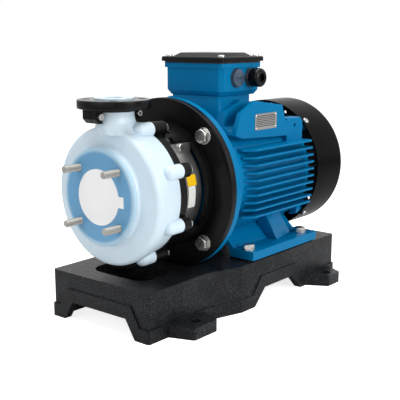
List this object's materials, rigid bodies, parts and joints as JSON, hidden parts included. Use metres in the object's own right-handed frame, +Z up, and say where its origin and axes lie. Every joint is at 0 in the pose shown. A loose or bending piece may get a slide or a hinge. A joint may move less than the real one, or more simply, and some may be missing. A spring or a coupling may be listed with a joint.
{
  "type": "chemical pump",
  "caption": "End-suction plastic chemical pump on a cast baseplate, close-coupled by a lantern to a finned electric motor with a terminal box.",
  "frame": {"origin": "on the floor plane, midway between the two front anchor holes, below the shaft", "axes": "+X along the shaft from the suction port to the fan, +Z up, along the discharge"},
  "size_m": [0.4954, 0.288, 0.3708],
  "materials": {
    "cast_base": "satin hammer paint",
    "casing_plastic": "milky, half gloss",
    "blue_film": "thin sheet",
    "label_white": "film",
    "black_iron": "satin black",
    "steel": "plain",
    "zinc": "zinc plated",
    "stainless": "brushed",
    "motor_blue": "satin enamel",
    "black_rubber": "matte",
    "black_plastic": "plain",
    "seal_ceramic": "lapped",
    "seal_carbon": "lapped",
    "core_iron": "laminated",
    "copper": "enamelled"
  },
  "bodies": {
    "pump_frame": {"baseplate": "cast_base", "pump_casing": "casing_plastic", "casing_o_ring": "black_rubber", "suction_studs": "steel", "discharge_flange": "black_iron", "collar_front_half": "black_iron", "collar_rear_half": "black_iron", "collar_screws": "zinc", "clamp_ring": "black_iron", "casing_bolts": "zinc", "rear_cover": "casing_plastic", "seal_seat": "seal_ceramic", "lantern_bracket": "black_iron", "guard_far": "stainless", "guard_near": "stainless", "guard_screws": "zinc", "lantern_bolts": "zinc", "lantern_washers": "zinc", "lantern_nuts": "zinc", "motor_front_shield": "motor_blue", "front_bearing_outer": "steel", "rear_bearing_outer": "steel", "stator_core": "core_iron", "stator_winding": "copper", "motor_frame": "motor_blue", "foot_bolts": "zinc", "foot_washers": "zinc", "nameplate": "stainless", "rear_end_shield": "motor_blue", "fan_cowl": "black_iron", "cowl_screws": "zinc", "terminal_box": "motor_blue", "terminal_gasket": "black_rubber", "terminal_lid": "black_iron", "lid_screws": "zinc", "terminal_board": "black_plastic", "terminal_studs": "zinc", "blanking_plug": "black_plastic", "plug_seal": "black_rubber", "gland_body": "black_plastic", "gland_seal": "black_rubber", "gland_cap": "black_plastic"},
    "rotor": {"motor_shaft": "steel", "rotor_core": "core_iron", "shaft_key": "steel", "pump_shaft": "steel", "stub_screws": "steel", "slinger": "black_rubber", "impeller": "casing_plastic", "impeller_nut": "casing_plastic", "seal_face": "seal_carbon", "seal_bellows": "black_rubber", "seal_collar": "steel", "front_bearing_inner": "steel", "rear_bearing_inner": "steel", "fan": "black_plastic", "fan_ring": "steel"},
    "port_cover": {"suction_cover": "blue_film", "suction_label": "label_white"}
  },
  "joints": [
    {"name": "rotor_spin", "type": "hinge", "parent": "pump_frame", "child": "rotor", "pos_m": [0, 0, 0.184], "axis": [1, 0, 0], "continuous": true},
    {"name": "cover_pull", "type": "slide", "parent": "pump_frame", "child": "port_cover", "axis": [-1, 0, 0], "range_m": [0, 0.045]}
  ]
}
